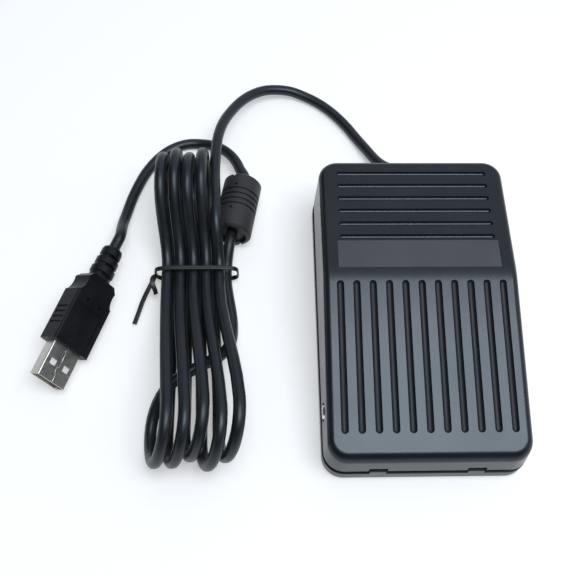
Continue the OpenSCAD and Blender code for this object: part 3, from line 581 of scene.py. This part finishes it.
def rodAlongX(x0, x1, y, z, radius):
    clearSelection()
    bpy.ops.mesh.primitive_cylinder_add(vertices=roundSides, radius=radius * mm, depth=abs(x1 - x0) * mm,
                                        location=((x0 + x1) / 2 * mm, y * mm, z * mm),
                                        rotation=(0, math.pi / 2, 0))
    rod = bpy.context.object
    settle(rod)
    return rod


def joined(pieces):
    pickOnly(*pieces)
    bpy.ops.object.join()
    return bpy.context.object


def carve(piece, cutters):
    cutter = joined(cutters)
    applyModifier(piece, "BOOLEAN", object=cutter, operation="DIFFERENCE", solver="EXACT", use_self=True)
    bpy.data.objects.remove(cutter)


# the pedal: a drafted, hollow treadle with two decks

pedalSpec = {
    "rimHalfWidth": 32.7,
    "rimHalfLength": 52.4,
    "draft": 0.8,
    "rimFront": 7.1,
    "rimRear": 8.1,
    "deck": 28.5,
    "front": 16.2,
    "frontEnd": -52.7,
    "ridge": 7.3,
    "ridgeSoft": 3.2,  # the bend between the decks reaches this far each way
    "ridgeCuts": 9,
    "cornerRadius": 6.4,
    "edgeRadius": 3.2,
    "frontEdgeRadius": 3.9,
    "leastRadius": 0.6,
    "wall": 2.2,
    "innerDrop": 6,  # the hollow is cut from this far below the rim
    "lipRound": 0.28,
    "crossGrooves": {"count": 6, "first": 45.9, "step": 5.06, "length": 52, "width": 1.8, "depth": 0.95},
    "longGrooves": {"count": 11, "step": 5.3, "start": 2.8, "length": 49.2, "width": 2.4, "depth": 1.25},
    "label": {"halfLength": 26.9, "low": 8.9, "high": 19.3, "depth": 0.25},
    "hinge": (-34.2, 10.8),
    "bore": 1.86,
    "boreReach": (25, 34),
    "headBore": 3.1,
    "headReach": (31, 36),
    "frontNotch": {"middle": 15.6, "half": 3, "front": -55.2, "rear": -48.7, "above": 2},
    "cordOpening": {"half": 6.9, "front": 48.4, "rear": 56, "top": 16.3},
    "cutLow": 5,  # the openings in the rim are cut from below it
    "cutAbove": 2,
    "coarse": {"deep": (0.22, 1.5), "half": 28.4, "front": -47, "beyond": 2},  # faces of the long grooves
    "under": {
        "post": (20.0, 38.0, 3.25, 5.0),  # across, along, radius, depth
        "boss": (29.3, 30.9, 3.7),  # from, to, radius
        "flag": (10.0, 5.0, 1.2, 3.2),  # along, length, thickness, dip into the switch
        "edge": 0.2,
    },
}


def grooveCutter(length, width, depth):
    radius = (width * width / 4 + depth * depth) / (2 * depth)
    clearSelection()
    bpy.ops.mesh.primitive_uv_sphere_add(segments=24, ring_count=13, radius=radius * mm,
                                         rotation=(math.pi / 2, 0, 0))
    cutter = bpy.context.object
    settle(cutter)
    reach = (length - width) / 2 * mm
    for vertex in cutter.data.vertices:
        vertex.co.y += reach if vertex.co.y > 0 else -reach
        vertex.co.z += (radius - depth) * mm
    return cutter


def roundDeckEdge(form, test, radius, frontRadius):
    # the rounding grows from the side's radius to the front's round each front corner
    mesh = form.data
    normals = normalsBeside(mesh)
    weights = mesh.attributes.new("bevel_weight_edge", "FLOAT", "EDGE")
    reach = pedalSpec["cornerRadius"] * mm
    frontY = min(v.co.y for v in mesh.vertices)
    for edge in mesh.edges:
        a, b = (mesh.vertices[i].co for i in edge.vertices)
        if test(a, b, normals[tuple(sorted(edge.vertices))]):
            atFront = max(a.y, b.y) < frontY + 1.5 * reach
            share = max(0, 1 - ((a.y + b.y) / 2 - frontY) / reach) if atFront else 0
            weights.data[edge.index].value = (radius + (frontRadius - radius) * share) / frontRadius
    applyModifier(form, "BEVEL", width=frontRadius * mm, segments=8, limit_method="WEIGHT",
                  edge_weight="bevel_weight_edge", use_clamp_overlap=True)


def treadleForm(inset, drop):
    spec = pedalSpec
    slope = math.atan((spec["deck"] - spec["front"]) / (spec["ridge"] - spec["frontEnd"]))
    halfW, halfL, draft = spec["rimHalfWidth"] - inset, spec["rimHalfLength"] - inset, spec["draft"]
    soft, cuts = spec["ridgeSoft"], spec["ridgeCuts"]
    clearSelection()
    bpy.ops.mesh.primitive_cube_add(size=2)
    form = bpy.context.object
    bpy.ops.object.mode_set(mode="EDIT")
    for i in range(cuts):
        place = spec["ridge"] - soft + 2 * soft * i / (cuts - 1)
        bpy.ops.mesh.select_all(action="SELECT")
        bpy.ops.mesh.bisect(plane_co=(0, place / halfL, 0), plane_no=(0, 1, 0))
    bpy.ops.object.mode_set(mode="OBJECT")
    for vertex in form.data.vertices:
        x, y, z = vertex.co
        atEnd = abs(y) > 0.99
        length = math.copysign(halfL if z < 0 else halfL - draft, y) if atEnd else y * halfL
        if z < 0:
            share = (length + halfL) / (2 * halfL)
            height = spec["rimFront"] + (spec["rimRear"] - spec["rimFront"]) * share - drop
        elif abs(length - spec["ridge"]) < soft:
            height = spec["deck"] - inset - math.tan(slope) * (spec["ridge"] + soft - length) ** 2 / (4 * soft)
        else:
            height = spec["deck"] - inset - max(0, spec["ridge"] - length) * math.tan(slope)
        width = halfW if z < 0 else halfW - draft
        vertex.co = (math.copysign(width, x) * mm, length * mm, height * mm)

    def uprightCorner(a, b, normals):
        return abs(a.z - b.z) > 5 * mm and abs(a.y) > 40 * mm

    def deckEdge(a, b, normals):
        heights = sorted(n.z for n in normals)
        return len(normals) == 2 and heights[1] > 0.8 and abs(heights[0]) < 0.4

    bevelWhere(form, uprightCorner, (spec["cornerRadius"] - inset) * mm, 10)
    least = spec["leastRadius"]
    roundDeckEdge(form, deckEdge, max(spec["edgeRadius"] - inset, least),
                  max(spec["frontEdgeRadius"] - inset, least))
    pickOnly(form)
    bpy.ops.object.mode_set(mode="EDIT")
    bpy.ops.mesh.select_all(action="SELECT")
    bpy.ops.mesh.bisect(plane_co=(0, 0, 0), plane_no=(1, 0, 0), clear_inner=True)
    bpy.ops.object.mode_set(mode="OBJECT")
    applyModifier(form, "MIRROR", use_axis=(True, False, False), use_clip=True, merge_threshold=0.00002)
    return form, slope


def boreRod(side):
    near, far = pedalSpec["boreReach"]
    return rodAlongX(side * near, side * far, *pedalSpec["hinge"], pedalSpec["bore"])


def underParts():
    # spring posts, hinge bosses and the flag that dips into the switch
    spec, under = pedalSpec, pedalSpec["under"]
    top = spec["deck"] - spec["wall"] / 2
    x, y, radius, deep = under["post"]
    found = []
    for side in (-1, 1):
        clearSelection()
        low = spec["deck"] - spec["wall"] - deep
        bpy.ops.mesh.primitive_cylinder_add(vertices=roundSides, radius=radius * mm, depth=(top - low) * mm,
                                            location=(side * x * mm, y * mm, (top + low) / 2 * mm))
        found.append(bpy.context.object)
        boss = rodAlongX(side * under["boss"][0], side * under["boss"][1], *spec["hinge"], under["boss"][2])
        carve(boss, [boreRod(side)])
        found.append(boss)
    switch = nodes["optical_switch"]
    switchTop = max((switch.matrix_world @ v.co).z for v in switch.data.vertices) / mm
    middle, long, thick, dip = under["flag"]
    found.append(boxCutter((-thick / 2, middle - long / 2, switchTop - dip),
                           (thick / 2, middle + long / 2, top)))
    for part in found:
        settle(part)
        applyModifier(part, "BEVEL", width=under["edge"] * mm, segments=2, limit_method="ANGLE",
                      angle_limit=math.radians(50), use_clamp_overlap=True)
        smoothBy(part, 40)
    return found


def buildPedal():
    spec = pedalSpec
    pedal, slope = treadleForm(0, 0)
    pedal.name = "pedal"
    carve(pedal, [treadleForm(spec["wall"], spec["innerDrop"])[0]])

    cutters = []
    cross = spec["crossGrooves"]
    for i in range(cross["count"]):
        cutter = grooveCutter(cross["length"], cross["width"], cross["depth"])
        cutter.rotation_euler = (0, 0, math.pi / 2)
        cutter.location = (0, (cross["first"] - i * cross["step"]) * mm, spec["deck"] * mm)
        settle(cutter)
        cutters.append(cutter)
    lengthwise = spec["longGrooves"]
    ridgePoint = Vector((0, spec["ridge"], spec["deck"]))
    down = Vector((0, -math.cos(slope), -math.sin(slope)))
    for i in range(lengthwise["count"]):
        cutter = grooveCutter(lengthwise["length"], lengthwise["width"], lengthwise["depth"])
        cutter.rotation_euler = (slope, 0, 0)
        place = ridgePoint + down * (lengthwise["start"] + lengthwise["length"] / 2)
        place.x = (i - (lengthwise["count"] - 1) / 2) * lengthwise["step"]
        cutter.location = place * mm
        settle(cutter)
        cutters.append(cutter)
    label = spec["label"]
    cutters.append(boxCutter((-label["halfLength"], label["low"], spec["deck"] - label["depth"]),
                             (label["halfLength"], label["high"], spec["deck"] + spec["cutAbove"])))
    notch, opening, low = spec["frontNotch"], spec["cordOpening"], spec["cutLow"]
    headNear, headFar = spec["headReach"]
    for side in (-1, 1):
        x = side * notch["middle"]
        cutters.append(boxCutter((x - notch["half"], notch["front"], low),
                                 (x + notch["half"], notch["rear"], spec["rimFront"] + notch["above"])))
        cutters.append(rodAlongX(side * headNear, side * headFar, *spec["hinge"], spec["headBore"]))
    cutters.append(boxCutter((-opening["half"], opening["front"], low),
                             (opening["half"], opening["rear"], opening["top"])))
    carve(pedal, cutters)
    carve(pedal, [boreRod(side) for side in (-1, 1)])

    applyModifier(pedal, "BEVEL", width=spec["lipRound"] * mm, segments=3, limit_method="ANGLE",
                  angle_limit=math.radians(38), use_clamp_overlap=True, miter_outer="MITER_ARC")
    splitWhere(pedal, lambda face: face.normal.y < -0.5 and face.center.y > 45 * mm)  # round the cord's opening
    smoothBy(pedal, 40)
    pedal = joined([pedal] + underParts())
    pedal.name = "pedal"
    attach(pedal, "pedal")
    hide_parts("pedal_shell")
    paint(pedal, "pedalPlastic")
    pedal.data.materials.append(finish["grooveShadedPlastic"])
    coarse = spec["coarse"]
    rear = spec["ridge"] - spec["ridgeSoft"] + coarse["beyond"]
    for face in pedal.data.polygons:
        x, y, z = face.center / mm
        below = spec["deck"] - max(0, spec["ridge"] - y) * math.tan(slope) - z
        inDeck = abs(x) < coarse["half"] and coarse["front"] < y < rear
        if inDeck and coarse["deep"][0] < below < coarse["deep"][1]:
            face.material_index = 1  # the long grooves take a coarser finish, painted a little darker than the deck as shade
    return pedal


pedal = buildPedal()
print("pedal modelled:", len(pedal.data.polygons), "faces")
paint(cord, "cordJacket")


# rigid pieces kept from the solids, with their edges broken

sharpAngle = math.radians(35)  # sharper edges than this are broken
flatAngle = math.radians(0.6)


def roundedCopy(node, name, width, segments, finishName, slotName):
    piece = bpy.data.objects.new(name, nodes[node].data.copy())
    bpy.context.scene.collection.objects.link(piece)
    pickOnly(piece)
    bpy.ops.object.mode_set(mode="EDIT")
    bpy.ops.mesh.select_all(action="SELECT")
    bpy.ops.mesh.remove_doubles(threshold=weld)
    bpy.ops.mesh.dissolve_limited(angle_limit=flatAngle)
    bpy.ops.object.mode_set(mode="OBJECT")
    if "custom_normal" in piece.data.attributes:
        piece.data.attributes.remove(piece.data.attributes["custom_normal"])
    applyModifier(piece, "BEVEL", width=width * mm, segments=segments, limit_method="ANGLE",
                  angle_limit=sharpAngle, use_clamp_overlap=True)
    smoothBy(piece, math.degrees(sharpAngle))
    paint(piece, finishName)
    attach(piece, nodes[node]["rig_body"])
    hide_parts(node)
    return piece


rounded = {
    # solid: piece, edge break in mm, segments, finish, slot
    "base_tray": ("tray", 0.35, 3, "trayPlastic", "tray_plastic"),
    "rubber_feet": ("feet", 0.3, 3, "footRubber", "foot_rubber"),
    "pivot_screw_left": ("pivotScrewLeft", 0.22, 3, "screwSteel", "screw_steel"),
    "pivot_screw_right": ("pivotScrewRight", 0.22, 3, "screwSteel", "screw_steel"),
    "cable_bushing": ("bushing", 0.2, 3, "gripPlastic", "grip_plastic"),
    "label_film": ("label", 0.04, 2, "labelFilm", "label_film"),
    "ferrite_cover": ("beadCover", 0.22, 3, "beadPlastic", "bead_plastic"),
    "plug_grip": ("plugGrip", 0.4, 3, "gripPlastic", "grip_plastic"),
    "plug_shell": ("plugShell", 0.13, 3, "plugSteel", "plug_steel"),
    "plug_tongue": ("plugTongue", 0.12, 2, "tongueWhite", "tongue_white"),
    "plug_contacts": ("plugContacts", 0.05, 2, "contactGold", "contact_gold"),
}
made = {node: roundedCopy(node, *spec) for node, spec in rounded.items()}
print("edges broken on", len(made), "pieces")


# the rolled seam of the plug's shell, and the hollow in its grip

seamSpec = {
    "height": 4.5,
    "roll": 56.0,
    "lip": 0.13,  # radius of the lip that stands along the join
    "sink": 0.04,
    # across and along from the tip: a small hook at the grip, a dovetail near the tip
    "line": [(0.3, 12.6), (0.3, 11.7), (-0.3, 11.4), (-0.3, 10.9), (0.15, 10.7), (0.15, 5.4), (-0.7, 5.1),
             (-0.5, 3.2), (0.2, 2.9), (0.2, 0.2)],
}
sweepSpec = {
    "start": 31.5,  # along from the tip
    "end": 37.4,
    "fill": 0.6,
    "inner": 4.4,  # only what lies further out than this is moved
}


def plugPlace():
    return (Matrix.Translation(plugTip * mm) @ Matrix.Rotation(-math.radians(cordSpec["plugTurn"]), 4, "Z")
            @ Matrix.Rotation(math.radians(seamSpec["roll"]), 4, "Y"))


def rollSeam(shell):
    spec = seamSpec
    height = spec["height"] / 2 - spec["sink"]
    seam = curveToMesh(wireCurve("seam", [(*place, height) for place in spec["line"]], spec["lip"] * mm))
    seam.matrix_world = plugPlace()
    settle(seam)
    paint(seam, "plugSteel")
    smoothBy(seam, 50)
    joined([shell, seam])


def easeSweep(grip):
    # the hollow from the block to the collar, a little shallower along its middle
    spec = sweepSpec
    place = plugPlace()
    back = place.inverted()
    middle, reach = (spec["start"] + spec["end"]) / 2, (spec["end"] - spec["start"]) / 2
    for vertex in grip.data.vertices:
        x, y, z = back @ vertex.co / mm
        if abs(y - middle) < reach and abs(x) > spec["inner"]:
            x += math.copysign(spec["fill"] * (1 - ((y - middle) / reach) ** 2), x)
            vertex.co = place @ (Vector((x, y, z)) * mm)


rollSeam(made["plug_shell"])
easeSweep(made["plug_grip"])
print("plug finished")


# the tie: a flat ribbon round the waist, twisted at the left, with one loose end

tieSpec = {
    "halfWidth": 14.475,
    "low": 0.6,
    "high": 11.04,
    "lean": -0.1,
    "roundness": 4.5,
    "middleX": -74.8625,
    "waistY": 19.3,
    "ribbonHalf": 0.5,  # half the flat of the ribbon
    "ribbonEdge": 0.32,  # its round edge, so it is twice this thick
    "steps": 96,
    "looseEnd": [(-89.6, 18.2, 5.7), (-90.6, 15.9, 5.4), (-92, 13.2, 4.6), (-93.8, 9.6, 3),
                 (-95.2, 5.6, 1.7), (-96.4, 1.8, 1.2)],
    "shortEnd": [(-89.5, 18.6, 5.6), (-90.3, 17.0, 6.6), (-90.2, 14.8, 6.6), (-89.4, 13.0, 5.2),
                 (-89.2, 12.2, 3.8)],
}


def ribbon(name, line, closed, tilt):
    piece = wireCurve(name, line, tieSpec["ribbonEdge"] * mm, closed=closed)
    piece.data.twist_mode = "MINIMUM"
    piece.data.extrude = tieSpec["ribbonHalf"] * mm
    for point in piece.data.splines[0].points:
        point.tilt = math.radians(tilt)
    return curveToMesh(piece)


def buildTie():
    spec = tieSpec
    middle = Vector((spec["middleX"], spec["waistY"], (spec["high"] + spec["low"]) / 2))
    tall = (spec["high"] - spec["low"]) / 2
    ring = []
    for i in range(spec["steps"]):
        a = 2 * math.pi * i / spec["steps"]
        c, h = math.cos(a), math.sin(a)
        k = (abs(c) ** spec["roundness"] + abs(h) ** spec["roundness"]) ** (-1 / spec["roundness"])
        ring.append(middle + k * Vector((spec["halfWidth"] * c, spec["lean"] * tall * h, tall * h)))
    pieces = [ribbon("tieRing", ring, True, 0)]
    for ends in ("looseEnd", "shortEnd"):
        pieces.append(ribbon(ends, curveThrough(spec[ends], 6), False, 90))
    tie = joined(pieces)
    tie.name = "tie"
    smoothBy(tie, 50)
    paint(tie, "tieRibbon")
    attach(tie, "base")
    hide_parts("hank_tie")
    return tie


tie = buildTie()
print("tie wound")


# return springs: one round wire each

springSpec = {
    "wire": 1.1,
    "mean": 8.6,
    "turns": 7,
    "steps": 24,  # points in a turn
    "pressed": 0.88,  # share of its height that is left at full press
}


def windSpring(node, name):
    spec = springSpec
    low, high = (Vector(corner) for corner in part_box(node))
    middle = (low + high) / 2
    half, radius = spec["wire"] / 2 * mm, spec["mean"] / 2 * mm
    count = spec["turns"] * spec["steps"]
    line = []
    for i in range(count + 1):
        a = 2 * math.pi * i / spec["steps"]
        height = low.z + half + (high.z - low.z - 2 * half) * i / count
        line.append(Vector((middle.x + radius * math.cos(a), middle.y + radius * math.sin(a), height)) / mm)
    spring = curveToMesh(wireCurve(name, line, half))
    smoothBy(spring, 60)
    paint(spring, "springSteel")
    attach(spring, "base")
    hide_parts(node)
    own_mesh(spring)
    return spring


for side in ("Left", "Right"):
    windSpring("return_spring_" + side.lower(), "spring" + side)
print("springs wound")


# solids inside the case keep their form

inner = {
    "circuit_board": "boardMask", "board_screws": "screwSteel", "controller_chip": "chipEpoxy",
    "crystal_can": "screwSteel", "capacitors": "ceramicTan", "optical_switch": "chipEpoxy",
    "cable_header": "headerNylon", "cable_wires": "wireJacket", "cable_clamp": "trayPlastic",
    "clamp_screws": "screwSteel", "ferrite_core": "ferriteGrey",
}
for node, name in inner.items():
    paint(nodes[node], name)
print("inner solids painted")


# floor, backdrop and light

studio = {
    "floorColor": (0.70, 0.705, 0.715),
    "floorLift": 0.37,  # seen by the camera and in gloss only, so the shadows stay faint
    "floorSize": 4.0,
    "skyBack": (0.57, 0.61, 0.68),
    "skyFront": (0.05, 0.052, 0.058),  # the sides behind the camera and to its left stay dim
    "frontStart": -0.25,  # where the sky begins to dim, as the way's Y
    "frontEnd": -0.55,
    "leftStart": -0.25,  # and the same for its X
    "leftEnd": -0.55,
    "bandLow": 0.14,  # the sky stays pale just above the floor's far edge, as the way's Z
    "bandHigh": 0.3,
    "lampColor": (0.94, 0.98, 1.0),
    "lamps": [
        # name, place, width, depth, watts, aim
        ("overhead", (0.16, -0.11, 0.8), 0.6, 0.4, 4.9, (0.16, 0.05, 0.0)),
    ],
}


def lightStudio():
    clearSelection()
    bpy.ops.mesh.primitive_plane_add(size=studio["floorSize"], location=(0, 0, 0))
    floor = bpy.context.object
    floor.name = "floor"
    pale = bpy.data.materials.new("paleFloor")
    pale.use_nodes = True
    tree = pale.node_tree
    tree.nodes.clear()
    out = tree.nodes.new("ShaderNodeOutputMaterial")
    matte = tree.nodes.new("ShaderNodeBsdfDiffuse")
    matte.inputs["Color"].default_value = (*studio["floorColor"], 1)
    lift = tree.nodes.new("ShaderNodeEmission")
    lift.inputs["Strength"].default_value = studio["floorLift"]
    dark = tree.nodes.new("ShaderNodeEmission")
    dark.inputs["Strength"].default_value = 0
    path = tree.nodes.new("ShaderNodeLightPath")
    seen = tree.nodes.new("ShaderNodeMath")
    seen.operation = "MAXIMUM"
    tree.links.new(path.outputs["Is Camera Ray"], seen.inputs[0])
    tree.links.new(path.outputs["Is Glossy Ray"], seen.inputs[1])
    glow = tree.nodes.new("ShaderNodeMixShader")
    tree.links.new(seen.outputs["Value"], glow.inputs["Fac"])
    tree.links.new(dark.outputs["Emission"], glow.inputs[1])
    tree.links.new(lift.outputs["Emission"], glow.inputs[2])
    both = tree.nodes.new("ShaderNodeAddShader")
    tree.links.new(matte.outputs["BSDF"], both.inputs[0])
    tree.links.new(glow.outputs["Shader"], both.inputs[1])
    tree.links.new(both.outputs["Shader"], out.inputs["Surface"])
    floor.data.materials.append(pale)

    world = bpy.data.worlds.new("studioWorld")
    bpy.context.scene.world = world
    world.use_nodes = True
    tree = world.node_tree
    tree.nodes.clear()
    link = tree.links.new
    out = tree.nodes.new("ShaderNodeOutputWorld")
    sky = tree.nodes.new("ShaderNodeBackground")
    way = tree.nodes.new("ShaderNodeTexCoord")
    parts = tree.nodes.new("ShaderNodeSeparateXYZ")
    link(way.outputs["Generated"], parts.inputs["Vector"])

    def fade(axis, start, end):
        found = tree.nodes.new("ShaderNodeMapRange")
        found.interpolation_type = "SMOOTHSTEP"
        found.inputs["From Min"].default_value = studio[start]
        found.inputs["From Max"].default_value = studio[end]
        link(parts.outputs[axis], found.inputs["Value"])
        return found.outputs["Result"]

    def combine(operation, a, b):
        found = tree.nodes.new("ShaderNodeMath")
        found.operation = operation
        link(a, found.inputs[0])
        link(b, found.inputs[1])
        return found.outputs["Value"]

    aside = combine("MAXIMUM", fade("Y", "frontStart", "frontEnd"), fade("X", "leftStart", "leftEnd"))
    mix = tree.nodes.new("ShaderNodeMix")
    mix.data_type = "RGBA"
    mix.inputs["A"].default_value = (*studio["skyBack"], 1)
    mix.inputs["B"].default_value = (*studio["skyFront"], 1)
    link(combine("MULTIPLY", aside, fade("Z", "bandLow", "bandHigh")), mix.inputs["Factor"])
    link(mix.outputs["Result"], sky.inputs["Color"])
    link(sky.outputs["Background"], out.inputs["Surface"])

    for name, place, width, depth, watts, target in studio["lamps"]:
        data = bpy.data.lights.new(name, "AREA")
        data.shape = "RECTANGLE"
        data.size = width
        data.size_y = depth
        data.energy = watts
        data.color = studio["lampColor"]
        lamp = bpy.data.objects.new(name, data)
        bpy.context.scene.collection.objects.link(lamp)
        lamp.location = place
        aim = Vector(target) - Vector(place)
        lamp.rotation_euler = aim.to_track_quat("-Z", "Y").to_euler()
    bpy.context.scene.view_settings.view_transform = "Standard"


lightStudio()
print("studio lit")

plugPieces = [made[n] for n in ("plug_grip", "plug_shell", "plug_tongue", "plug_contacts", "ferrite_cover")]
plugPieces += [nodes["ferrite_core"], tie]
